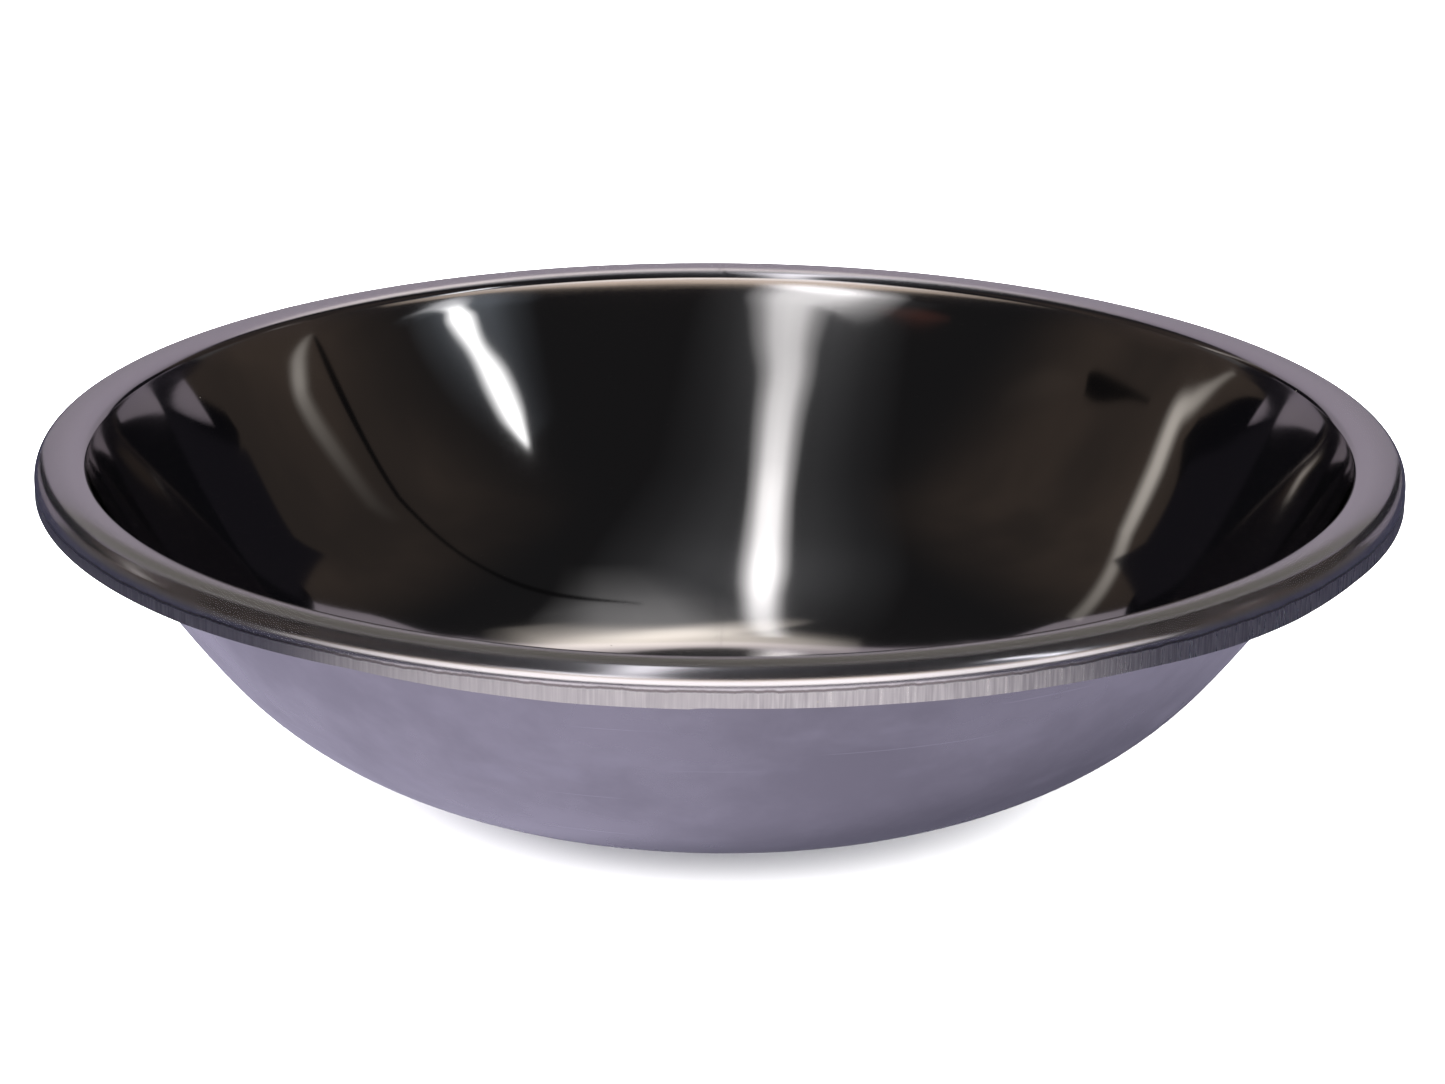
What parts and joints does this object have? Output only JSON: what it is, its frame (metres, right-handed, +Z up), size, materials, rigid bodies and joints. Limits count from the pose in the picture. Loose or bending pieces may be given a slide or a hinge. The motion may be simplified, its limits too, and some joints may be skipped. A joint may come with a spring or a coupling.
{
  "type": "mixing bowl",
  "caption": "Wide shallow stainless steel mixing bowl with a flat base, rounded wall, convex polished rim flange and a turned-down outer skirt, for mixing and holding ingredients by hand.",
  "frame": {"origin": "Centre of the underside of the flat base, at the height of the surface that the bowl stands on.", "axes": "+Z points up through the middle of the mouth. The bowl is round about Z, so +X and +Y are any two square directions across the mouth."},
  "size_m": [0.4, 0.4, 0.1],
  "materials": {
    "stainless_sheet": "mirror polished inside and on the flange, satin outside, drawn and scuffed on the skirt"
  },
  "bodies": {
    "root": {"bowl_shell": "stainless_sheet"}
  },
  "joints": []
}
